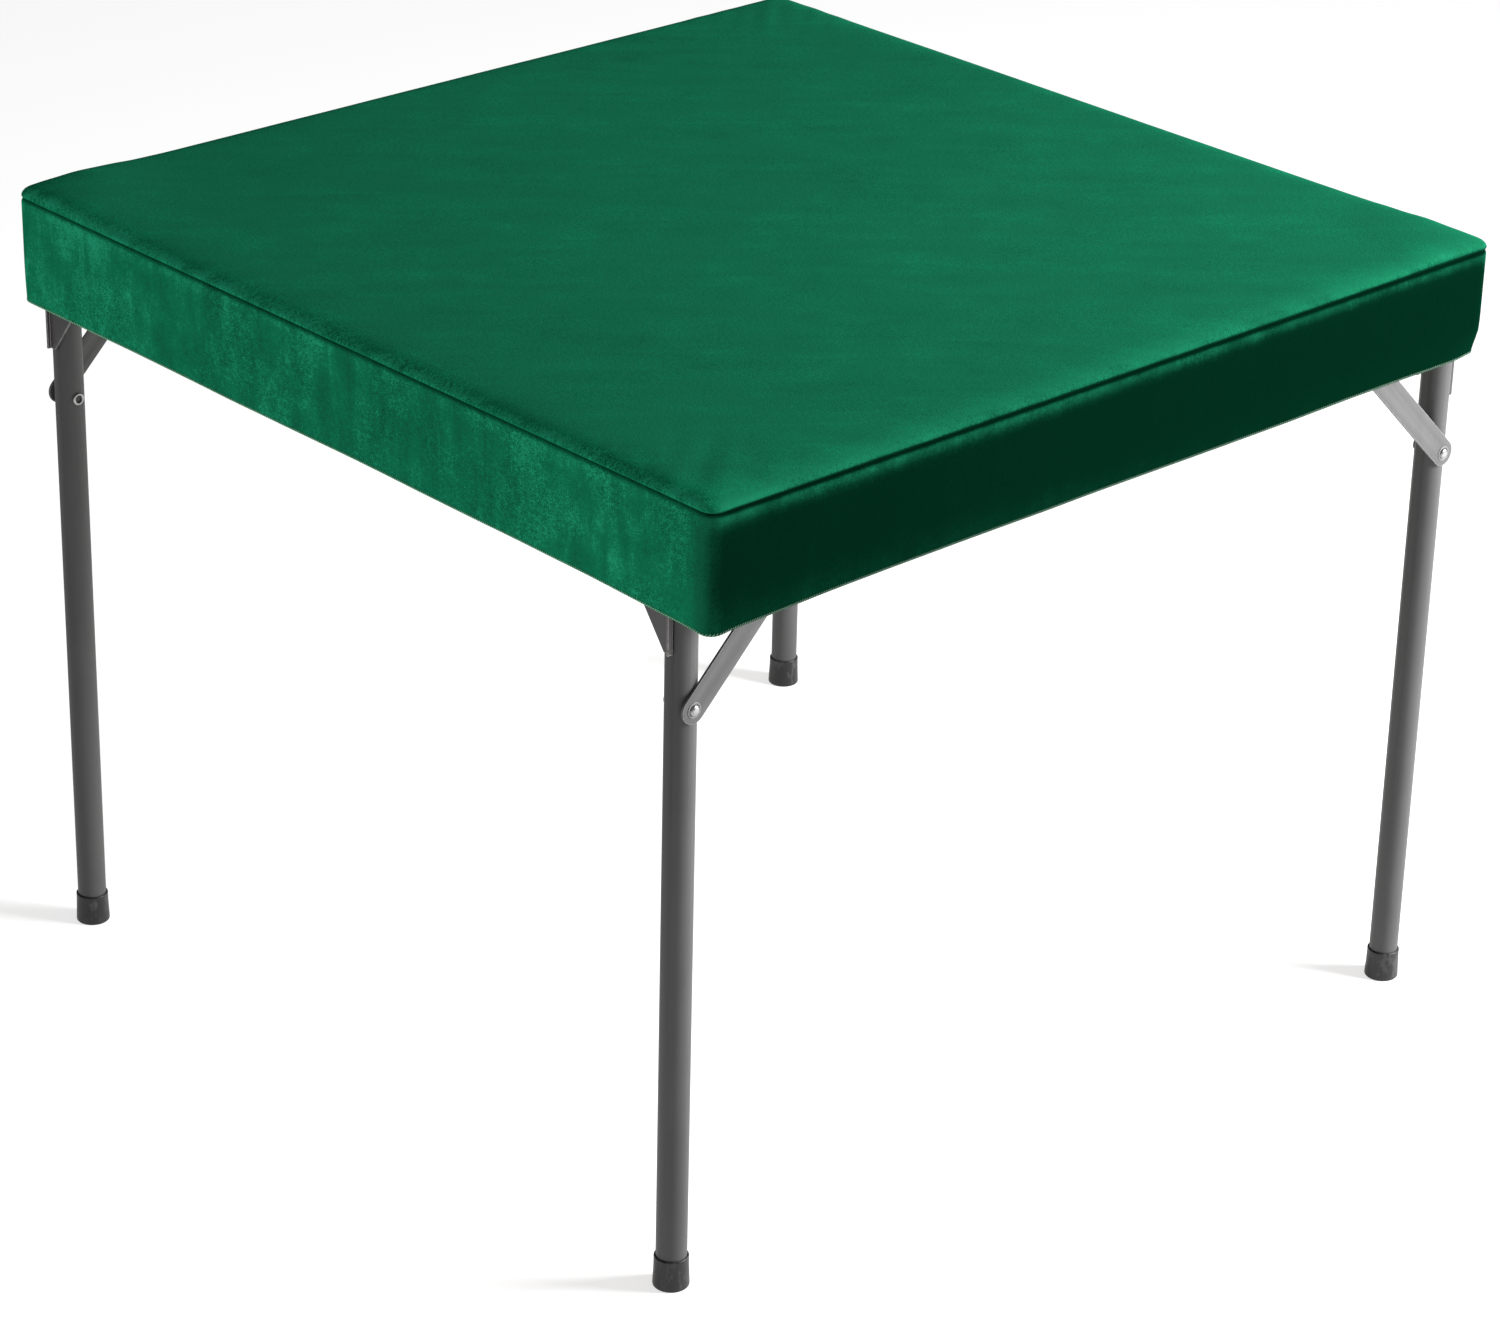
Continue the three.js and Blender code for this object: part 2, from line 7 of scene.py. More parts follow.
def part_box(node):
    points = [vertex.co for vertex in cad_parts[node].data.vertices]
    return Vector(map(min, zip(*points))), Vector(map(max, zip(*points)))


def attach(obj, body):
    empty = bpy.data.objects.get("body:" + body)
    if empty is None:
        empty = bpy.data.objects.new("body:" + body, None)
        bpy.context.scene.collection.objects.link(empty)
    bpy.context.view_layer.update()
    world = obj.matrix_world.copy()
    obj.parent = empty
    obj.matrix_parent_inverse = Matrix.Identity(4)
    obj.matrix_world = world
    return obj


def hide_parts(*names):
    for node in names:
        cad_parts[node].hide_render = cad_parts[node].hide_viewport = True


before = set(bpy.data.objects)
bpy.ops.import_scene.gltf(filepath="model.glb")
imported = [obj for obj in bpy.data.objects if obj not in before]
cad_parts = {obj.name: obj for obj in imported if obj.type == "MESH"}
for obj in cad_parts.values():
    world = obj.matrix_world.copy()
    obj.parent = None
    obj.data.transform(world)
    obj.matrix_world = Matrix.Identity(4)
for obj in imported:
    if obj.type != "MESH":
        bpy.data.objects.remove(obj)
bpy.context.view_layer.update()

# ---------- camera ----------
# A long lens off the near left corner, a little above the top, held a touch out of level.
CAMERA_DISTANCE = 4.04
CAMERA_LENS = 110.2
CAMERA_ROLL = math.radians(1.37)
LOOK_AT = Vector((0.0062, -0.0058, 0.2876))
azimuth, elevation = math.radians(-43.03), math.radians(25.42)
back = Vector(
    (
        math.sin(azimuth) * math.cos(elevation),
        -math.cos(azimuth) * math.cos(elevation),
        math.sin(elevation),
    )
)
level_right = Vector((math.cos(azimuth), math.sin(azimuth), 0))
level_up = back.cross(level_right)
right = level_right * math.cos(CAMERA_ROLL) + level_up * math.sin(CAMERA_ROLL)
up = level_up * math.cos(CAMERA_ROLL) - level_right * math.sin(CAMERA_ROLL)
turn = Matrix((right, up, back)).transposed().to_4x4()
bpy.ops.object.camera_add()
camera = bpy.context.object
camera.name = "camera"
camera.matrix_world = Matrix.Translation(LOOK_AT + back * CAMERA_DISTANCE) @ turn
camera.data.lens = CAMERA_LENS
camera.data.sensor_width = 36
camera.data.clip_end = 200
bpy.context.scene.camera = camera

# ---------- floor and light ----------
# A plain white floor that glows a little, even white light, and one large soft lamp off the right-hand side.
# The lamp falls off across the top, so the right side of the cover is the lighter one.


class Wire:
    """A node's output in a material. Arithmetic on it adds Math nodes, and node() adds any other kind."""

    def __init__(self, tree, output=None):
        self.tree = tree
        self.output = output

    def node(self, kind, settings, sockets, output=0):
        made = self.tree.nodes.new(kind)
        for name, value in settings.items():
            if name == "stops":
                made.color_ramp.interpolation = "EASE"
                for place, _ in value[1:-1]:
                    made.color_ramp.elements.new(place)
                for element, (place, colour) in zip(made.color_ramp.elements, value):
                    element.position, element.color = place, (*colour, 1)
            else:
                setattr(made, name, value)
        for name, value in sockets.items():
            if isinstance(value, Wire):
                self.tree.links.new(value.output, made.inputs[name])
            else:
                made.inputs[name].default_value = value
        return Wire(self.tree, made.outputs[output])

    def math(self, operation, *values):
        return self.node("ShaderNodeMath", {"operation": operation}, dict(enumerate(values)))

    def __add__(self, other):
        return self.math("ADD", self, other)

    def __mul__(self, other):
        return self.math("MULTIPLY", self, other)

    def __sub__(self, other):
        return self.math("SUBTRACT", self, other)

    def __rsub__(self, other):
        return self.math("SUBTRACT", other, self)

    __radd__ = __add__
    __rmul__ = __mul__

    def between(self, low, high):
        """0 below low, 1 above high, and smooth between them."""
        settings = {"interpolation_type": "SMOOTHSTEP"}
        return self.node("ShaderNodeMapRange", settings, {0: self, 1: low, 2: high})

    def noise(self, size, detail=2.0, roughness=0.5, distortion=0.0):
        """Noise whose largest blots are about size metres across."""
        sockets = {"Vector": self, "Scale": 1 / size, "Detail": detail, "Roughness": roughness}
        return self.node("ShaderNodeTexNoise", {}, {**sockets, "Distortion": distortion})

    def streaks(self, turn_z, size, detail=3.0, distortion=0.0):
        """Noise drawn out to a size of so many metres along each axis, after a turn about Z."""
        sockets = {"Vector": self, "Rotation": (0, 0, turn_z), "Scale": size}
        drawn_out = self.node("ShaderNodeMapping", {"vector_type": "TEXTURE"}, sockets)
        return drawn_out.noise(1, detail, 0.6, distortion)

    def without_sign(self):
        return self.math("ABSOLUTE", self)

    def mixed(self, first, second):
        """From the first colour to the second as this wire goes from 0 to 1. Each is a colour or a wire."""
        ends = [end if isinstance(end, Wire) else (*end, 1) for end in (first, second)]
        return self.node("ShaderNodeMix", {"data_type": "RGBA"}, {0: self, 6: ends[0], 7: ends[1]}, 2)

    def ramp(self, *stops):
        return self.node("ShaderNodeValToRGB", {"stops": stops}, {"Fac": self})

    def bump(self, strength, depth):
        return self.node("ShaderNodeBump", {}, {"Height": self, "Strength": strength, "Distance": depth})

    def worn_edge(self, radius):
        """1 on sharp outer edges, fading to 0 on the faces beside them."""
        rounded = self.node("ShaderNodeBevel", {"samples": 4}, {"Radius": radius})
        flat = self.node("ShaderNodeNewGeometry", {}, {}, "Normal")
        settings = {"operation": "DOT_PRODUCT"}
        alike = self.node("ShaderNodeVectorMath", settings, {0: rounded, 1: flat}, "Value")
        return (1 - alike).between(0.004, 0.06)


def start_material(name, **constants):
    """A material with its shader's fixed values set, and a wire with its object coordinates."""
    material = bpy.data.materials.new(name)
    material.use_nodes = True
    shader = material.node_tree.nodes["Principled BSDF"]
    for socket, value in constants.items():
        shader.inputs[socket.replace("_", " ")].default_value = value
    place = Wire(material.node_tree).node("ShaderNodeTexCoord", {}, {}, "Object")
    return material, shader, place


def drive(material, shader, **wires):
    """Joins wires to the shader's sockets."""
    for socket, wire in wires.items():
        material.node_tree.links.new(wire.output, shader.inputs[socket.replace("_", " ")])


FLOOR_SIZE = 60
FLOOR_GLOW = 0.68
FLOOR_CLOUD = 1.4
FLOOR_LOW, FLOOR_HIGH = (0.56, 0.56, 0.56), (0.59, 0.59, 0.59)
SKY_STRENGTH = 0.25
LAMP_PLACE, LAMP_AIM = (1.75, -2.15, 1.4), (0, 0, 0.5)
LAMP_SIZE, LAMP_WATTS = 1.1, 212
bpy.ops.mesh.primitive_plane_add(size=FLOOR_SIZE)
floor = bpy.context.object
floor.name = "floor"
floor_paint, floor_shader, floor_place = start_material(
    "white_floor",
    Roughness=0.7,
    Specular_IOR_Level=0.1,
    Emission_Color=(1, 1, 1, 1),
    Emission_Strength=FLOOR_GLOW,
)
floor_tone = floor_place.noise(FLOOR_CLOUD, 2).mixed(FLOOR_LOW, FLOOR_HIGH)
drive(floor_paint, floor_shader, Base_Color=floor_tone)
floor.data.materials.append(floor_paint)

world = bpy.data.worlds.new("even_light")
bpy.context.scene.world = world
world.use_nodes = True
world.node_tree.nodes["Background"].inputs["Color"].default_value = (1, 1, 1, 1)
world.node_tree.nodes["Background"].inputs["Strength"].default_value = SKY_STRENGTH
bpy.context.scene.view_settings.view_transform = "Standard"


bpy.ops.object.light_add(type="AREA", location=LAMP_PLACE)
lamp = bpy.context.object
lamp.name = "main_lamp"
lamp.data.shape = "DISK"
lamp.data.size = LAMP_SIZE
lamp.data.energy = LAMP_WATTS
lamp.rotation_euler = (Vector(LAMP_AIM) - Vector(LAMP_PLACE)).to_track_quat("-Z", "Y").to_euler()

# ---------- velvet top panel ----------
# The top of the fitted cover: short-pile green velvet drawn over the padded top and rolled down its edge.
# A plain seam joins it to the skirt, and pulls both into a groove.
MM = 0.001
COVER_THICKNESS = 0.9 * MM
CORNER_RADIUS = 13 * MM
SIDE_STEPS = 132
CORNER_STEPS = 10
top_low, top_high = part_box("cover_top_panel")
skirt_low, skirt_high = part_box("cover_skirt")
half_size = top_high.x
seam_level = top_low.z
top_level = top_high.z


def rounded_square(half, radius):
    """Round a square with rounded corners: x, y, the outward direction, and the distance travelled."""
    centre = half - radius
    side, arc = 2 * centre, radius * math.pi / 2
    points = []
    for quarter in range(4):
        travelled = quarter * (side + arc)
        local = []
        for step in range(SIDE_STEPS):
            along = side * step / SIDE_STEPS
            local.append((half, along - centre, 0, travelled + along))
        for step in range(CORNER_STEPS):
            angle = math.pi / 2 * step / CORNER_STEPS
            x, y = centre + radius * math.cos(angle), centre + radius * math.sin(angle)
            local.append((x, y, angle, travelled + side + radius * angle))
        c, s = math.cos(quarter * math.pi / 2), math.sin(quarter * math.pi / 2)
        for x, y, angle, distance in local:
            heading = angle + quarter * math.pi / 2
            points.append((c * x - s * y, s * x + c * y, heading, distance))
    return points


def smooth_step(value, low, high):
    share = min(max((value - low) / (high - low), 0), 1)
    return share * share * (3 - 2 * share)


def bell(value, middle, width):
    return math.exp(-(((value - middle) / width) ** 2))


def sewn_sheet(name, rows, closes=False, first_centre=None, last_centre=None):
    """A mesh through rows of points (place, uv, nap with painted light and shade) that all go the same way
    round.
    It can close into a loop, or on a centre point at its first or last row."""
    count = len(rows[0])
    points = [point for row in rows for point in row]
    faces = []
    bands = len(rows) if closes else len(rows) - 1
    for band in range(bands):
        upper, lower = band * count, (band + 1) % len(rows) * count
        for i in range(count):
            j = (i + 1) % count
            faces.append((upper + i, lower + i, lower + j, upper + j))
    for centre, edge in ((first_centre, 0), (last_centre, (len(rows) - 1) * count)):
        if centre:
            points.append(centre)
            faces += [(edge + i, len(points) - 1, edge + (i + 1) % count) for i in range(count)]
    mesh = bpy.data.meshes.new(name)
    mesh.from_pydata([place for place, _, _ in points], [], faces)
    uvs = mesh.uv_layers.new(name="cloth").data
    for loop in mesh.loops:
        uvs[loop.index].uv = points[loop.vertex_index][1]
    # The nap attribute holds the pile's lie together with painted light and painted shade.
    nap_and_painted_light = mesh.attributes.new("nap_and_painted_light", "FLOAT", "POINT")
    nap_and_painted_light.data.foreach_set("value", [lie_and_light for _, _, lie_and_light in points])
    mesh.shade_smooth()
    piece = bpy.data.objects.new(name, mesh)
    bpy.context.scene.collection.objects.link(piece)
    bpy.ops.object.select_all(action="DESELECT")
    piece.select_set(True)
    bpy.context.view_layer.objects.active = piece
    return piece


# Inset from the widest outline and drop below the top, in millimetres, from the middle out to the seam.
ROLL = [
    (40, 0.0), (33, 0.05), (27, 0.15), (22, 0.3), (18, 0.5), (14.8, 0.78), (12, 1.15),
    (9.6, 1.6), (7.5, 2.15), (5.7, 2.8), (4.1, 3.55), (2.8, 4.35), (1.7, 5.2), (0.85, 6.1),
    (0.3, 7.0), (0.15, 7.8), (0.5, 8.6), (1.2, 9.3), (2.2, 9.8), (3.0, 9.95),
]
PROUD = 0.4 * MM
FLAT_STEP = 9 * MM
INNER_RADIUS = 10 * MM


LONG_WAVE, SHORT_WAVE = 0.35 * MM, 0.12 * MM
FOLD_HEIGHT, FOLD_FROM_CORNER, FOLD_REACH = 0.6 * MM, 70 * MM, 60 * MM
PUFF_FROM_CORNER, PUFF_REACH = 62 * MM, 50 * MM
# How far the cloth stands up near each corner, by whether x and y are positive there.
CORNER_PUFF = {(False, False): 0, (True, False): 2 * MM, (True, True): 0.5 * MM, (False, True): 3.5 * MM}


def top_relief(x, y):
    """The rise and fall of the stretched cloth: shallow waves, and short folds and a puff at the corners."""
    long_wave = noise.noise(Vector((x * 3.1, y * 3.1, 2.0))) * LONG_WAVE
    short_wave = noise.noise(Vector((x * 11, y * 11, 5.0))) * SHORT_WAVE
    to_corner = math.hypot(abs(x) - half_size, abs(y) - half_size)
    across, along = (abs(x) - abs(y)) * 42, (abs(x) + abs(y)) * 8
    crease = noise.noise(Vector((across, along, 8.0 + (x > 0) + 2 * (y > 0))))
    folds = crease * FOLD_HEIGHT * bell(to_corner, FOLD_FROM_CORNER, FOLD_REACH)
    puff = CORNER_PUFF[(x > 0, y > 0)] * bell(to_corner, PUFF_FROM_CORNER, PUFF_REACH)
    return long_wave + short_wave + folds + puff


def pucker(distance, level):
    """The small uneven gathers along a seam."""
    wide = noise.noise(Vector((distance * 38, level * 55, 3.0)))
    return wide + 0.6 * noise.noise(Vector((distance * 90, 0, 9.0)))


# How the pile lies, from 0 where it is flat and dark to 1 where it stands up light, with painted light and
# shade added. First the flat of the top, then the painted highlights on the ridge, the edge and the near
# corner, the painted shade in the seam's groove, and what its gathers add or take.
FLAT_NAP = 0.5
RIDGE_PAINTED_HIGHLIGHT, EDGE_PAINTED_HIGHLIGHT, NEAR_CORNER_PAINTED_HIGHLIGHT, GROOVE_PAINTED_SHADE, GATHER_TONE = 0.13, 0.03, 0.08, 0.26, 0.05
# Painted light that the turned-down edge adds on the left, and painted shade it takes on the right and at the
# front and rear, with the pile's lie.
LEFT_NAP_AND_LIGHT, RIGHT_NAP_AND_SHADE, END_NAP_AND_SHADE = 0.31, 0.04, 0.23


def top_row(inset, drop):
    row = []
    flatness = 1 - smooth_step(drop, 3 * MM, 9.5 * MM)
    near_seam = bell(drop, 9 * MM, 4 * MM)
    radius = max(CORNER_RADIUS - inset, INNER_RADIUS)
    for x, y, heading, distance in rounded_square(half_size + PROUD - inset, radius):
        gather = pucker(distance * half_size / max(half_size - inset, FLAT_STEP), 1) * near_seam
        c, s = math.cos(heading), math.sin(heading)
        outward = 0.35 * MM * gather
        z = top_level - drop + top_relief(x, y) * flatness + 0.2 * MM * gather
        place = (x + outward * c, y + outward * s, z)
        # Painted highlights: a lighter band on the ridge above the seam, and another on the roll of the edge.
        ridge_highlight = RIDGE_PAINTED_HIGHLIGHT * bell(drop, 4.2 * MM, 3.0 * MM) + EDGE_PAINTED_HIGHLIGHT * bell(inset, 16 * MM, 9 * MM)
        # A painted highlight round the front left corner.
        corner_highlight = NEAR_CORNER_PAINTED_HIGHLIGHT * bell(math.hypot(x + half_size, y + half_size), 20 * MM, 70 * MM)
        # Painted shade in the seam's groove.
        groove_shade = GROOVE_PAINTED_SHADE * smooth_step(drop, 6.6 * MM, 9.6 * MM)
        # Painted light on the left of the roll, and painted shade on the right and at the front and rear, with
        # the pile's lie.
        faced_light_and_shade = LEFT_NAP_AND_LIGHT * max(-c, 0) - RIGHT_NAP_AND_SHADE * max(c, 0) - END_NAP_AND_SHADE * abs(s)
        rolled_light_and_shade = faced_light_and_shade * smooth_step(drop, 0, 4 * MM)
        # The gathers are lighter where they stand out and darker where they sink in.
        row.append((place, (x, y), FLAT_NAP + ridge_highlight + corner_highlight - groove_shade + rolled_light_and_shade + GATHER_TONE * gather))
    return row


profile = [(inset * MM, drop * MM) for inset, drop in reversed(ROLL)]
flat_inset = profile[-1][0]
while flat_inset < half_size - 2.5 * INNER_RADIUS:
    flat_inset += FLAT_STEP
    profile.append((flat_inset, 0))
centre_point = ((0, 0, top_level + top_relief(0, 0)), (0, 0), FLAT_NAP)
velvet_top = sewn_sheet("velvet_top", [top_row(*step) for step in profile], last_centre=centre_point)


def make_outward(piece):
    bpy.ops.object.mode_set(mode="EDIT")
    bpy.ops.mesh.select_all(action="SELECT")
    bpy.ops.mesh.normals_make_consistent(inside=False)
    bpy.ops.object.mode_set(mode="OBJECT")


def add_and_apply(piece, kind, **settings):
    bpy.context.view_layer.objects.active = piece
    modifier = piece.modifiers.new(kind.lower(), kind)
    for name, value in settings.items():
        setattr(modifier, name, value)
    bpy.ops.object.modifier_apply(modifier=modifier.name)


make_outward(velvet_top)
if velvet_top.data.polygons[-1].normal.z < 0:
    velvet_top.data.flip_normals()
add_and_apply(velvet_top, "SOLIDIFY", thickness=COVER_THICKNESS, offset=-1)


# The pile's colours as its value goes from lying flat and in painted shade to standing up and in painted light:
# near black, deep, plain, light and tip green.
PILE_COLOURS = (
    (0.0, (0.0001, 0.003, 0.0012)),
    (0.14, (0.0002, 0.0074, 0.003)),
    (0.5, (0.0068, 0.13, 0.063)),
    (0.8, (0.0068, 0.21, 0.098)),
    (1.0, (0.02, 0.38, 0.195)),
)
PATCH_SIZE, RUFFLE_SIZE, TUFT_SIZE, FIBRE_SIZE = 0.22, 0.09, 4 * MM, 1.2 * MM


def velvet_finish(name, streak_turn, streak_size, blot_size):
    """Crushed and brushed pile. Its lie, with the painted light and shade held in the same value, makes it
    anything from near black to light green.
    """
    velvet, shader, _ = start_material(
        name,
        Roughness=0.9,
        Specular_IOR_Level=0.0,
        Sheen_Weight=0.06,
        Sheen_Roughness=0.45,
        Sheen_Tint=(0.04, 0.6, 0.35, 1),
    )
    cloth = Wire(velvet.node_tree).node("ShaderNodeUVMap", {"uv_map": "cloth"}, {})
    # This value is the pile's lie with painted light and painted shade added.
    nap_and_painted_light = cloth.node("ShaderNodeAttribute", {"attribute_name": "nap_and_painted_light"}, {}, "Fac")
    patches = cloth.noise(PATCH_SIZE, 3, 0.55, 0.5) - 0.5
    brushed = cloth.streaks(streak_turn, streak_size, 4, 0.6) - 0.5
    mottled = cloth.noise(blot_size, 5, 0.68) - 0.5
    tufts = cloth.noise(TUFT_SIZE, 3, 0.7) - 0.5
    ruffled = cloth.noise(RUFFLE_SIZE, 2).between(0.4, 0.62)
    fibres = cloth.noise(FIBRE_SIZE, 2, 0.7) - 0.5
    uneven = patches * 0.45 + brushed * 0.6 + mottled * 0.6 + tufts * (0.4 + ruffled * 0.6)
    uneven = uneven + fibres * (0.8 + ruffled * 0.8)
    tone = nap_and_painted_light + uneven * (nap_and_painted_light * nap_and_painted_light * 1.6 + 0.035)
    height = fibres * 0.5 + tufts * 0.5 + brushed * 0.5 + mottled * 0.6
    drive(velvet, shader, Base_Color=tone.ramp(*PILE_COLOURS), Normal=height.bump(0.4, 1.2 * MM))
    return velvet


# On the top, the brushing runs cornerwise.
TOP_BRUSHING, TOP_STREAK, TOP_BLOT = math.radians(-40), (0.14, 0.024, 0.05), 0.045
velvet_top.data.materials.append(velvet_finish("velvet_of_the_top", TOP_BRUSHING, TOP_STREAK, TOP_BLOT))
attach(velvet_top, "tabletop")
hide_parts("cover_top_panel")

# ---------- velvet skirt ----------
# One long band of the same velvet, sewn to the top panel all round, with its lower edge turned up for a hem.
# The hem's elastic draws it in under one corner. The pile of the front and rear runs the dark way, and the
# front is darker still with painted shade; the left and right sides are lightened with painted light.
hem_level = skirt_low.z
skirt_depth = seam_level - hem_level
# Inset from the widest outline and drop below the seam, in millimetres, down the outside and up the inside.
SKIRT_OUTSIDE = [
    (3.0, 0.15), (2.1, 0.5), (1.2, 1.1), (0.5, 1.9), (0.1, 2.9), (0, 4.2), (0, 6), (0, 8.5),
    (0, 12), (0, 17), (0, 23), (0, 30), (0, 37), (0, 44), (0, 51), (0, 58), (0.1, 65), (0.2, 72),
    (0.4, 79), (0.6, 85), (0.8, 89.5), (1.2, 92.2),
]
SKIRT_FOLD = [(1.8, 92.9), (2.5, 92.9), (3.0, 92.3), (3.2, 91)]
SKIRT_INSIDE = [
    (3.1, 84), (2.8, 76.5), (2.4, 75.6), (1.7, 75), (1.2, 68), (1.1, 50), (1.1, 30), (1.1, 12), (1.7, 5),
    (3.0, 2.2), (3.6, 0.6),
]
# The corners are numbered 0 rear right, 1 rear left, 2 front left and 3 front right. How far the elastic draws
# the hem in at each, and how far the hem hangs down there.
CORNER_TUCK = {0: 1 * MM, 1: 0, 2: 0, 3: 4 * MM}
CORNER_HANG = {0: 1 * MM, 1: 0, 2: 5 * MM, 3: 0}
WAVE_DEPTH, GATHER_DEPTH, HEM_RISE = 0.9 * MM, 0.3 * MM, 1.6 * MM
TUCK_REACH, HANG_REACH, POINT_REACH = 22 * MM, 110 * MM, 16 * MM
# The change from the light pile and painted light of a side to the dark pile of an end, with painted shade at
# the front: its length, and where it begins, past the middle of a front corner and of a rear one.
TURN_LENGTH, FRONT_TURN_BEGINS, REAR_TURN_BEGINS = 44 * MM, -30 * MM, -6 * MM


def corner_of(distance, half, radius):
    """The corner nearest to a point, how far away that is, and how much the point is on the front or rear."""
    quarter_length = 2 * (half - radius) + radius * math.pi / 2
    quarter, along = divmod(distance, quarter_length)
    past_next = along - quarter_length + radius * math.pi / 4
    past_last = along + radius * math.pi / 4
    if -past_next < past_last:
        corner, past = int(quarter), past_next
    else:
        corner, past = int(quarter) - 1, past_last
    past_to_end = past if corner % 2 == 0 else -past
    begins = FRONT_TURN_BEGINS if corner % 4 in (2, 3) else REAR_TURN_BEGINS
    return corner % 4, abs(past), smooth_step(past_to_end, begins, begins + TURN_LENGTH)


def hem_tuck(distance, half, radius, drop):
    corner, away, _ = corner_of(distance, half, radius)
    return CORNER_TUCK[corner] * smooth_step(drop, 68 * MM, skirt_depth) * bell(away, 0, TUCK_REACH)


# How the pile lies on the left and right, with painted light, on the front, with painted shade, and on the
# rear, and the painted shade that the seam takes from it.
SIDE_NAP_AND_LIGHT, FRONT_NAP_AND_SHADE, REAR_NAP, SEAM_PAINTED_SHADE = 0.755, 0.14, 0.3, 0.14


def skirt_row(inset, drop):
    row = []
    hang = drop / skirt_depth
    near_seam = bell(drop, 2 * MM, 8 * MM)
    half, radius = half_size + PROUD - inset, CORNER_RADIUS - inset
    for x, y, heading, distance in rounded_square(half, radius):
        outline_distance = distance * (half_size + PROUD) / half
        corner, away, end_share = corner_of(distance, half, radius)
        wave = noise.noise(Vector((outline_distance * 5.5, drop * 4, 1.0))) + 0.5 * noise.noise(
            Vector((outline_distance * 17, drop * 9, 6.0))
        )
        gather = pucker(outline_distance, 2) * near_seam
        outward = (WAVE_DEPTH * max(wave, -0.3) * hang + GATHER_DEPTH * gather) * (1 - bell(away, 0, 30 * MM))
        outward -= hem_tuck(distance, half, radius, drop)
        lift = HEM_RISE * hang**3 * noise.noise(Vector((outline_distance * 4.3, 0, 4.0)))
        near_corner = 0.7 * bell(away, 0, HANG_REACH) + 0.3 * bell(away, 0, POINT_REACH)
        z = seam_level - drop + lift - CORNER_HANG[corner] * hang**2 * near_corner
        place = (x + outward * math.cos(heading), y + outward * math.sin(heading), z)
        # Painted light on the sides, and a painted highlight in a band just below the seam.
        side_nap_and_light = SIDE_NAP_AND_LIGHT + 0.07 * bell(drop, 6 * MM, 6 * MM)
        # Painted shade on the front, darker towards its right; the rear keeps its pile's lie. Both ends get a
        # painted highlight just below the seam and grow a little lighter towards the hem.
        end_nap_light_and_shade = FRONT_NAP_AND_SHADE - 0.04 * smooth_step(x, -0.2, half_size) if y < 0 else REAR_NAP
        end_nap_light_and_shade += 0.13 * bell(drop, 4 * MM, 8 * MM) + 0.04 * smooth_step(drop, 60 * MM, 92 * MM)
        lie_and_light = side_nap_and_light * (1 - end_share) + end_nap_light_and_shade * end_share
        # Painted shade along the seam.
        lie_and_light -= SEAM_PAINTED_SHADE * (1 - smooth_step(drop, 0.6 * MM, 3.6 * MM))
        # The gathers are lighter where they stand out and darker where they sink in.
        row.append((place, (outline_distance, drop), lie_and_light + GATHER_TONE * gather))
    return row


skirt_profile = [(inset * MM, drop * MM) for inset, drop in SKIRT_OUTSIDE + SKIRT_FOLD + SKIRT_INSIDE]
velvet_skirt = sewn_sheet("velvet_skirt", [skirt_row(*step) for step in skirt_profile], closes=True)
make_outward(velvet_skirt)
SKIRT_STREAK, SKIRT_BLOT = (0.022, 0.08, 0.05), 0.03
velvet_skirt.data.materials.append(velvet_finish("velvet_of_the_skirt", 0, SKIRT_STREAK, SKIRT_BLOT))
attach(velvet_skirt, "tabletop")
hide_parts("cover_skirt")

# ---------- hem ----------
# A woven elastic tape inside the hem, and an overlocked edge of small slanting green stitches along the fold.
# The tape is gathered a little as it is sewn in.
TAPE_WIDTH, TAPE_THICKNESS = 9 * MM, 0.8 * MM
RIPPLE_LENGTH, RIPPLE_DEPTH = 7 * MM, 0.25 * MM
TAPE_INSET, TAPE_DROP = 3.6 * MM, skirt_depth - 10.5 * MM


def tape_row(inset, drop):
    row = []
    half, radius = half_size + PROUD - inset, CORNER_RADIUS - inset
    for x, y, heading, distance in rounded_square(half, radius):
        ripple = 1 + math.sin(distance * 2 * math.pi / RIPPLE_LENGTH)
        outward = -hem_tuck(distance, half, radius, drop) - RIPPLE_DEPTH * ripple
        place = (x + outward * math.cos(heading), y + outward * math.sin(heading), seam_level - drop)
        row.append((place, (distance, drop), 0.5))
    return row


tape_profile = [
    (TAPE_INSET, TAPE_DROP),
    (TAPE_INSET, TAPE_DROP + TAPE_WIDTH),
    (TAPE_INSET + TAPE_THICKNESS, TAPE_DROP + TAPE_WIDTH),
    (TAPE_INSET + TAPE_THICKNESS, TAPE_DROP),
]
hem_tape = sewn_sheet("hem_elastic_tape", [tape_row(*step) for step in tape_profile], closes=True)
make_outward(hem_tape)
elastic, elastic_shader, elastic_place = start_material("woven_elastic", Roughness=0.85)
elastic_uv = elastic_place.node("ShaderNodeUVMap", {"uv_map": "cloth"}, {})
ribs, weave = [
    elastic_uv.node("ShaderNodeTexWave", {"bands_direction": way}, {"Vector": elastic_uv, "Scale": fine}, "Fac")
    for way, fine in (("Y", 160.0), ("X", 120.0))
]
elastic_colour = (ribs * 0.6 + weave * 0.4).mixed((0.012, 0.11, 0.055), (0.05, 0.26, 0.14))
drive(elastic, elastic_shader, Base_Color=elastic_colour, Normal=(ribs + weave).bump(0.5, 0.3 * MM))
hem_tape.data.materials.append(elastic)
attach(hem_tape, "tabletop")
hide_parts("cover_hem_elastic")

STITCH_PITCH = 2.4 * MM
STITCH_OUT, STITCH_UP = 1.7 * MM, 1.5 * MM
STITCH_LEAN, STITCH_TILT = 1.1, 0.1
TWIST_SIZE = 1.1 * MM
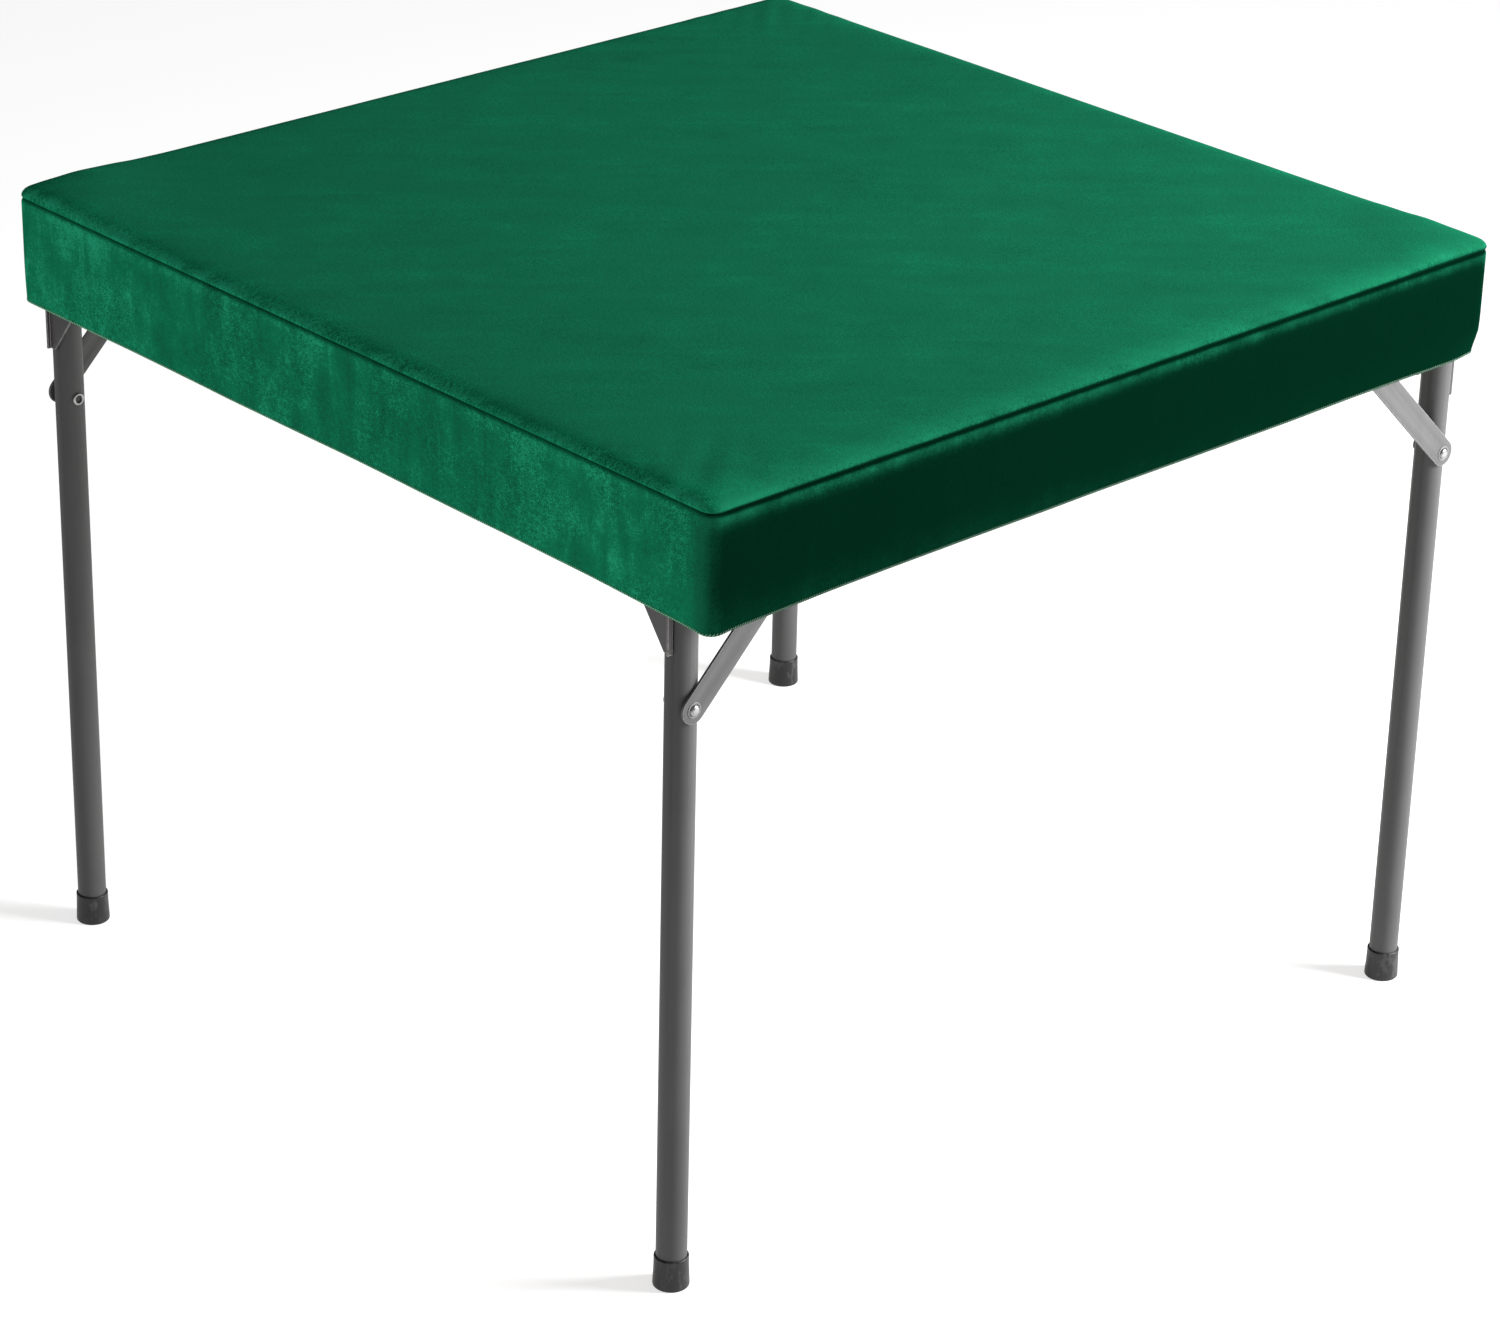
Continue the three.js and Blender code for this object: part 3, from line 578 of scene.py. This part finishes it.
# The dark thread colour is also the thread's painted shade on the front and rear.
DARK_AND_SHADED_THREAD, LIGHT_THREAD = (0.003, 0.04, 0.017), (0.3, 0.68, 0.4)
STITCH_LENGTH, STITCH_RADIUS = 3.0 * MM, 0.42 * MM
bpy.ops.mesh.primitive_cylinder_add(vertices=6, radius=STITCH_RADIUS, depth=STITCH_LENGTH * 0.6)
stitch = bpy.context.object
bpy.ops.object.mode_set(mode="EDIT")
for end in (1, -1):
    bpy.ops.mesh.select_all(action="DESELECT")
    bpy.ops.object.mode_set(mode="OBJECT")
    for face in stitch.data.polygons:
        face.select = face.normal.z * end > 0.9
    bpy.ops.object.mode_set(mode="EDIT")
    bpy.ops.mesh.select_mode(type="FACE")
    bpy.ops.mesh.extrude_region_move(TRANSFORM_OT_translate={"value": (0, 0, end * STITCH_LENGTH * 0.2)})
    bpy.ops.transform.resize(value=(0.45, 0.45, 1))
bpy.ops.object.mode_set(mode="OBJECT")
stitch_points = [vertex.co.copy() for vertex in stitch.data.vertices]
stitch_faces = [tuple(face.vertices) for face in stitch.data.polygons]
bpy.data.objects.remove(stitch)
hem_row = skirt_row(*skirt_profile[len(SKIRT_OUTSIDE) + 1])
hem_line = [Vector(place) for place, _, _ in hem_row]
thread_points, thread_faces = [], []
travelled, next_stitch = 0.0, 0.0
for start, end in zip(hem_line, hem_line[1:] + hem_line[:1]):
    stretch = (end - start).length
    ahead = (end - start).normalized()
    outward = ahead.cross(Vector((0, 0, 1)))
    while next_stitch < travelled + stretch:
        middle = start + ahead * (next_stitch - travelled) + outward * STITCH_OUT + Vector((0, 0, STITCH_UP))
        lean = (Vector((0, 0, 1)) + STITCH_LEAN * ahead + STITCH_TILT * outward).normalized()
        spin = lean.to_track_quat("Z", "Y").to_matrix()
        first = len(thread_points)
        thread_points += [middle + spin @ point for point in stitch_points]
        thread_faces += [tuple(first + corner for corner in face) for face in stitch_faces]
        next_stitch += STITCH_PITCH
    travelled += stretch
stitch_mesh = bpy.data.meshes.new("hem_stitching")
stitch_mesh.from_pydata(thread_points, [], thread_faces)
stitch_mesh.shade_smooth()
hem_stitching = bpy.data.objects.new("hem_stitching", stitch_mesh)
bpy.context.scene.collection.objects.link(hem_stitching)
thread, thread_shader, thread_place = start_material("overlock_thread", Roughness=0.7, Sheen_Weight=0.2)
# On the left and right sides the thread shows light. On the front and rear it is painted dark, painted shade to
# go with the ends.
across = thread_place.node("ShaderNodeSeparateXYZ", {}, {"Vector": thread_place}, "X").without_sign()
on_a_lit_side = across.between(half_size - 12 * MM, half_size - 4 * MM)
twist = thread_place.noise(TWIST_SIZE, 2)
thread_tone = (twist * (on_a_lit_side * 0.8 + 0.2)).mixed(DARK_AND_SHADED_THREAD, LIGHT_THREAD)
drive(thread, thread_shader, Base_Color=thread_tone)
stitch_mesh.materials.append(thread)
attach(hem_stitching, "tabletop")

# ---------- padded top ----------
# Under the cover: a foam pad on a hardboard panel, with brown vinyl drawn over it and turned down at its edge.
# Only the board's underside shows, from below.
BOARD_CORNER_RADIUS = 18 * MM
VINYL_THICKNESS = 0.8 * MM


def padded_row(half, radius, inset, level, yielding):
    """A row round the pad or its vinyl. The more it yields, the more it follows the cover's rise and fall."""
    row = []
    for x, y, _, _ in rounded_square(half - inset, max(radius - inset, 2 * MM)):
        row.append(((x, y, level + yielding * top_relief(x, y)), (x, y), 0.5))
    return row


def fine_grain(name, low, high, size):
    grained, shader, place = start_material(name, Roughness=0.5)
    grain = place.node("ShaderNodeTexVoronoi", {}, {"Vector": place, "Scale": 1 / size}, "Distance")
    colour = place.noise(0.08, 4).mixed(low, high)
    drive(grained, shader, Base_Color=colour, Normal=grain.bump(0.4, 0.2 * MM))
    return grained


pad_low, pad_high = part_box("foam_pad")
pad_thickness = pad_high.z - pad_low.z
# Inset in millimetres and share of the thickness, from the middle of the underside out and back over the top.
PAD_SECTION = [
    (300, 0), (120, 0), (30, 0), (3, 0), (1, 0.06), (0.2, 0.2), (0, 0.42), (0.5, 0.62), (1.8, 0.78),
    (4.5, 0.88), (10, 0.94), (25, 0.97), (80, 0.99), (200, 1), (320, 1), (400, 1),
]
pad_rows = [
    padded_row(pad_high.x, BOARD_CORNER_RADIUS, inset * MM, pad_low.z + share * pad_thickness, share)
    for inset, share in PAD_SECTION
]
foam = sewn_sheet(
    "foam_on_board",
    pad_rows,
    first_centre=((0, 0, pad_low.z), (0, 0), 0.5),
    last_centre=((0, 0, pad_high.z + top_relief(0, 0)), (0, 0), 0.5),
)
make_outward(foam)
LOW_CREAM, HIGH_CREAM = (0.72, 0.62, 0.4), (0.82, 0.74, 0.52)
foam.data.materials.append(fine_grain("open_foam", LOW_CREAM, HIGH_CREAM, 0.0011))
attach(foam, "tabletop")
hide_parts("foam_pad")

vinyl_low, vinyl_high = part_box("vinyl_top_sheet")
# Inset and drop below the top, in millimetres.
VINYL_ROLL = [
    (0, 7.0), (0, 5.6), (0.4, 4.6), (1.2, 3.6), (2.4, 2.6), (4.2, 1.7), (7, 0.9), (11, 0.4), (18, 0.1),
    (40, 0),
    (60, 0), (90, 0), (130, 0), (180, 0), (240, 0), (310, 0), (390, 0),
]
vinyl_rows = [padded_row(vinyl_high.x, BOARD_CORNER_RADIUS + 1 * MM, 0, vinyl_low.z, 0)]
for inset, drop in VINYL_ROLL:
    level = vinyl_high.z - drop * MM
    yielding = 1 - smooth_step(drop * MM, 1 * MM, 7 * MM)
    vinyl_rows.append(padded_row(vinyl_high.x, BOARD_CORNER_RADIUS + 1 * MM, inset * MM, level, yielding))
vinyl_middle = ((0, 0, vinyl_high.z + top_relief(0, 0)), (0, 0), 0.5)
vinyl = sewn_sheet("vinyl_over_foam", vinyl_rows, last_centre=vinyl_middle)
make_outward(vinyl)
if vinyl.data.polygons[-1].normal.z < 0:
    vinyl.data.flip_normals()
add_and_apply(vinyl, "SOLIDIFY", thickness=VINYL_THICKNESS, offset=-1)
DARK_BROWN, LIGHT_BROWN = (0.045, 0.03, 0.022), (0.075, 0.052, 0.038)
vinyl.data.materials.append(fine_grain("brown_vinyl", DARK_BROWN, LIGHT_BROWN, 0.0015))
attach(vinyl, "tabletop")
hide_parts("vinyl_top_sheet")

hardboard, board_shader, board_place = start_material("hardboard", Roughness=0.72)
chips = board_place.noise(0.005, 6, 0.75)
clouds = board_place.noise(0.14, 3)
board_colour = (chips * 0.7 + clouds * 0.3).ramp((0.3, (0.1, 0.052, 0.026)), (0.7, (0.26, 0.155, 0.085)))
screen = board_place.node("ShaderNodeTexChecker", {}, {"Vector": board_place, "Scale": 700.0}, "Fac")
drive(hardboard, board_shader, Base_Color=board_colour, Normal=(chips + screen * 0.3).bump(0.4, 0.2 * MM))
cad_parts["top_board"].data.materials.clear()
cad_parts["top_board"].data.materials.append(hardboard)

# ---------- apron and brackets ----------
# Pressed sheet steel, spot-welded and dipped in dark enamel: angle rails round the board, rounded corner webs,
# and at each leg a mount plate, a track plate, a pivot cheek and the tapered stop gusset with its lip.
LEGS = ("front_left", "front_right", "rear_right", "rear_left")


def enamel(name, low, high, worn, gloss):
    """Satin enamel on steel, with slight orange peel, faint clouding, and rubbed light edges."""
    paint, shader, place = start_material(name, Roughness=gloss, Specular_IOR_Level=0.3)
    clouds = place.noise(0.06, 4, 0.6)
    peel = place.noise(0.0024, 2)
    runs = place.streaks(0, (0.016, 0.016, 0.2))
    edge = place.worn_edge(1.2 * MM) * place.noise(0.005, 4, 0.7).between(0.25, 0.5)
    tone = (clouds * 0.5 + runs * 0.5).between(0.3, 0.7).mixed(low, high)
    colour = edge.mixed(tone, worn)
    rough = gloss + (clouds - 0.5) * 0.16 + (peel - 0.5) * 0.05
    drive(paint, shader, Base_Color=colour, Roughness=rough, Normal=peel.bump(0.12, 0.15 * MM))
    return paint


dark_enamel = enamel("dark_enamel", (0.03, 0.027, 0.028), (0.044, 0.04, 0.041), (0.42, 0.41, 0.4), 0.45)


def bevelled_copy(node, width, steps=2):
    """A copy of a CAD node's shape with its loose triangles joined and its edges rounded."""
    bpy.ops.object.select_all(action="DESELECT")
    piece = bpy.data.objects.new("rounded_" + node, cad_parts[node].data.copy())
    bpy.context.scene.collection.objects.link(piece)
    piece.select_set(True)
    bpy.context.view_layer.objects.active = piece
    piece.data.materials.clear()
    bpy.ops.object.mode_set(mode="EDIT")
    bpy.ops.mesh.select_all(action="SELECT")
    bpy.ops.mesh.remove_doubles(threshold=0.01 * MM)
    bpy.ops.mesh.dissolve_limited(angle_limit=math.radians(0.5))
    bpy.ops.object.mode_set(mode="OBJECT")
    sharp = math.radians(40)
    add_and_apply(piece, "BEVEL", width=width, segments=steps, limit_method="ANGLE", angle_limit=sharp)
    bpy.ops.object.shade_smooth_by_angle(angle=math.radians(35))
    return piece


LEG_PLATES = ("_apron_corner", "_mount_plate", "_track_plate", "_pivot_cheek", "_stop_gusset")
plates = [side + "_rail" for side in ("front", "right", "rear", "left")]
for leg in LEGS:
    plates += [leg + part for part in LEG_PLATES]
for node in plates:
    plate = bevelled_copy(node, 0.35 * MM)
    plate.data.materials.append(dark_enamel)
    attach(plate, "tabletop")
    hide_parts(node)

# ---------- pivot pins, spacers and track pins ----------
# Turned steel pins with a bright zinc finish, riveted over at their ends.


def zinc_finish():
    zinc, shader, place = start_material("bright_zinc", Metallic=1.0, Roughness=0.3)
    turning = place.streaks(0, (0.03, 0.0011, 0.03), 2)
    dulled = place.noise(0.017, 4)
    colour = dulled.mixed((0.2, 0.2, 0.205), (0.4, 0.4, 0.395))
    rough = 0.18 + dulled * 0.25
    drive(zinc, shader, Base_Color=colour, Roughness=rough, Normal=turning.bump(0.1, 0.05 * MM))
    return zinc


bright_zinc = zinc_finish()
for leg in LEGS:
    pins = {"_pivot_pin": "tabletop", "_pivot_spacer": "tabletop", "_track_pin": leg + "_strap"}
    for part, body in pins.items():
        pin = bevelled_copy(leg + part, 0.3 * MM)
        pin.data.materials.append(bright_zinc)
        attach(pin, body)
        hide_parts(leg + part)

# ---------- leg tubes ----------
# One-inch steel tube in grey satin enamel, drilled for its pivot pin and its rivet. The upper end is rounded
# about the pivot, so that it turns clear of the gusset.
TUBE_SIDES, END_SIDES, HOLE_SIDES = 72, 64, 24
PIN_HOLE, RIVET_HOLE = 3.3 * MM, 3.8 * MM
TUBE_WALL = 1.2 * MM
grey_enamel = enamel("grey_enamel", (0.052, 0.052, 0.052), (0.066, 0.066, 0.066), (0.2, 0.2, 0.2), 0.5)


def along_y(name, radius, length, place, sides):
    bpy.ops.mesh.primitive_cylinder_add(vertices=sides, radius=radius, depth=length, location=place)
    rod = bpy.context.object
    rod.name = name
    rod.rotation_euler = (math.pi / 2, 0, 0)
    bpy.ops.object.transform_apply(location=True, rotation=True, scale=True)
    return rod


def cut_with(piece, tool, operation="DIFFERENCE"):
    add_and_apply(piece, "BOOLEAN", operation=operation, object=tool, solver="EXACT")
    bpy.data.objects.remove(tool)


for leg in LEGS:
    low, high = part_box(leg + "_leg_tube")
    middle = (low + high) / 2
    radius = (high.x - low.x) / 2
    pivot_low, pivot_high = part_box(leg + "_pivot_spacer")
    pivot_level = (pivot_low.z + pivot_high.z) / 2
    rivet_low, rivet_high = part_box(leg + "_strap_rivet")
    rivet_level = (rivet_low.z + rivet_high.z) / 2
    bpy.ops.mesh.primitive_cylinder_add(
        vertices=TUBE_SIDES, radius=radius, depth=high.z - low.z, end_fill_type="NOTHING", location=middle
    )
    tube = bpy.context.object
    tube.name = "enamelled_" + leg + "_tube"
    bpy.ops.object.transform_apply(location=True, rotation=True, scale=True)
    add_and_apply(tube, "SOLIDIFY", thickness=TUBE_WALL, offset=-1)
    pivot = (middle.x, middle.y, pivot_level)
    end_round = along_y("end_round", high.z - pivot_level, 4 * radius, pivot, END_SIDES)
    below_pivot = (middle.x, middle.y, (pivot_level + low.z) / 2 - radius)
    bpy.ops.mesh.primitive_cube_add(size=1, location=below_pivot)
    below = bpy.context.object
    below.scale = (4 * radius, 4 * radius, pivot_level - low.z + 2 * radius)
    bpy.ops.object.transform_apply(location=True, rotation=True, scale=True)
    cut_with(below, end_round, "UNION")
    cut_with(tube, below, "INTERSECT")
    for hole_radius, level in ((PIN_HOLE, pivot_level), (RIVET_HOLE, rivet_level)):
        cut_with(tube, along_y("hole", hole_radius, 4 * radius, (middle.x, middle.y, level), HOLE_SIDES))
    bpy.ops.object.select_all(action="DESELECT")
    tube.select_set(True)
    bpy.context.view_layer.objects.active = tube
    bpy.ops.object.shade_smooth_by_angle(angle=math.radians(30))
    tube.data.materials.append(grey_enamel)
    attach(tube, leg + "_leg")
    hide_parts(leg + "_leg_tube")

# ---------- rubber feet ----------
# Moulded black rubber cups with a soft rim, a thick sole and scuffed sides, pushed over the ends of the tubes.
# Each is turned in one piece, with the bore that takes its tube.


def turned(name, sides, profile):
    """A closed round piece on the Z axis: a disc drawn out through each (radius, height) of the profile."""
    radius, height = profile[0]
    start = (0, 0, height)
    bpy.ops.mesh.primitive_circle_add(vertices=sides, radius=radius, fill_type="NGON", location=start)
    piece = bpy.context.object
    piece.name = name
    bpy.ops.object.transform_apply(location=True, rotation=True, scale=True)
    bpy.ops.object.mode_set(mode="EDIT")
    bpy.ops.mesh.select_mode(type="FACE")
    bpy.ops.mesh.select_all(action="SELECT")
    for wider, higher in profile[1:]:
        bpy.ops.mesh.extrude_region_move(TRANSFORM_OT_translate={"value": (0, 0, higher - height)})
        bpy.ops.transform.resize(value=(wider / radius, wider / radius, 1))
        radius, height = wider, higher
    bpy.ops.mesh.select_all(action="SELECT")
    bpy.ops.mesh.normals_make_consistent(inside=False)
    bpy.ops.object.mode_set(mode="OBJECT")
    bpy.ops.object.shade_smooth_by_angle(angle=math.radians(40))
    return piece


def rubber_finish():
    rubber, shader, place = start_material("scuffed_rubber", Roughness=0.55, Specular_IOR_Level=0.4)
    scuffs = place.streaks(0, (0.007, 0.007, 0.017), 5).between(0.5, 0.68)
    dust = place.noise(0.004, 4, 0.7)
    colour = (scuffs * dust).mixed((0.006, 0.006, 0.006), (0.09, 0.09, 0.09))
    rough = 0.38 + scuffs * 0.3 + dust * 0.1
    height = scuffs + dust * 0.5
    drive(rubber, shader, Base_Color=colour, Roughness=rough, Normal=height.bump(0.3, 0.25 * MM))
    return rubber


scuffed_rubber = rubber_finish()
# Radius less than the widest, and height, in millimetres: up the outside, over the rim and down the bore.
FOOT_PROFILE = [
    (1.9, 0), (0.7, 0.25), (0.15, 0.9), (0, 1.9), (0.15, 5), (0.45, 12), (0.7, 19), (0.82, 25.5),
    (0.72, 26.4), (0.8, 27.3), (1.15, 27.85), (1.6, 28), (1.95, 27.7), (2.05, 27), (2.1, 6),
]
FOOT_SIDES = 56
for leg in LEGS:
    low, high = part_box(leg + "_foot_cap")
    widest = (high.x - low.x) / 2
    outline = [(widest - inset * MM, height * MM) for inset, height in FOOT_PROFILE]
    foot = turned("rubber_" + leg + "_foot", FOOT_SIDES, outline)
    foot.location = ((low.x + high.x) / 2, (low.y + high.y) / 2, 0)
    bpy.ops.object.transform_apply(location=True, rotation=True, scale=True)
    foot.data.materials.append(scuffed_rubber)
    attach(foot, leg + "_leg")
    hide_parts(leg + "_foot_cap")

# ---------- straps and their rivets ----------
# Flat steel bars with round ends in lighter grey enamel. A semi-tubular rivet with a bright domed head holds
# each one to its leg through a pressed collar, and is flared open on the far side of the tube.
strap_enamel = enamel("strap_enamel", (0.068, 0.068, 0.068), (0.08, 0.08, 0.08), (0.24, 0.24, 0.24), 0.5)
# Radius and height above the strap, in millimetres.
DOME_PROFILE = [
    (3.5, 0.2), (4.45, 0.22), (4.6, 0.5), (4.45, 1.0), (4.0, 1.55), (3.2, 2.0), (2.2, 2.28), (1.1, 2.4),
]
COLLAR_PROFILE = [(3.9, 0.0), (6.6, 0.0), (6.6, 0.3), (6.3, 0.55), (5.5, 0.6), (5.1, 0.42), (4.9, 0.12)]
# Radius and height past the tube, in millimetres: over the flare and down into the hollow.
FLARE_PROFILE = [
    (3.5, 0), (5.1, 0.1), (5.5, 0.5), (5.4, 1.0), (4.9, 1.35), (4.3, 1.45), (3.6, 1.25), (3.1, 0.7),
    (2.8, -0.4), (2.7, -5.5),
]
SHANK_RADIUS, SHADED_HOLLOW_RADIUS = 3.5 * MM, 2.95 * MM


def rivet_part(name, profile, sides, place, outward, material, leg):
    part = turned(name, sides, [(radius * MM, height * MM) for radius, height in profile])
    part.rotation_euler = (-outward * math.pi / 2, 0, 0)
    part.location = place
    bpy.ops.object.transform_apply(location=True, rotation=True, scale=True)
    part.data.materials.append(material)
    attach(part, leg + "_leg")
    return part


for leg in LEGS:
    strap = bevelled_copy(leg + "_strap", 0.5 * MM, 3)
    strap.data.materials.append(strap_enamel)
    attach(strap, leg + "_strap")
    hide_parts(leg + "_strap")
    low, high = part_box(leg + "_strap_rivet")
    strap_low, strap_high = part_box(leg + "_strap")
    tube_low, tube_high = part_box(leg + "_leg_tube")
    outward = 1 if low.y + high.y > 0 else -1
    centre_x, level = (low.x + high.x) / 2, (low.z + high.z) / 2
    strap_face = strap_high.y if outward > 0 else strap_low.y
    tube_face = tube_low.y if outward > 0 else tube_high.y
    strap_side, tube_side = (centre_x, strap_face, level), (centre_x, tube_face, level)
    head = rivet_part(leg + "_rivet_head", DOME_PROFILE, 32, strap_side, outward, bright_zinc, leg)
    flare = rivet_part(leg + "_rivet_flare", FLARE_PROFILE, 32, tube_side, -outward, bright_zinc, leg)
    # The hollow is painted dark with the rubber's material: painted shade in the recess.
    flare.data.materials.append(scuffed_rubber)
    for face in flare.data.polygons:
        if math.hypot(face.center.x - centre_x, face.center.z - level) < SHADED_HOLLOW_RADIUS:
            face.material_index = 1
    shank_middle = (centre_x, (strap_face + tube_face) / 2, level)
    shank_length = abs(strap_face - tube_face) - 1 * MM
    shank = along_y(leg + "_rivet_shank", SHANK_RADIUS, shank_length, shank_middle, HOLE_SIDES)
    bpy.ops.object.shade_smooth_by_angle(angle=math.radians(40))
    shank.data.materials.append(bright_zinc)
    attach(shank, leg + "_leg")
    collar = rivet_part(leg + "_rivet_collar", COLLAR_PROFILE, 40, strap_side, outward, strap_enamel, leg)
    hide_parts(leg + "_strap_rivet")
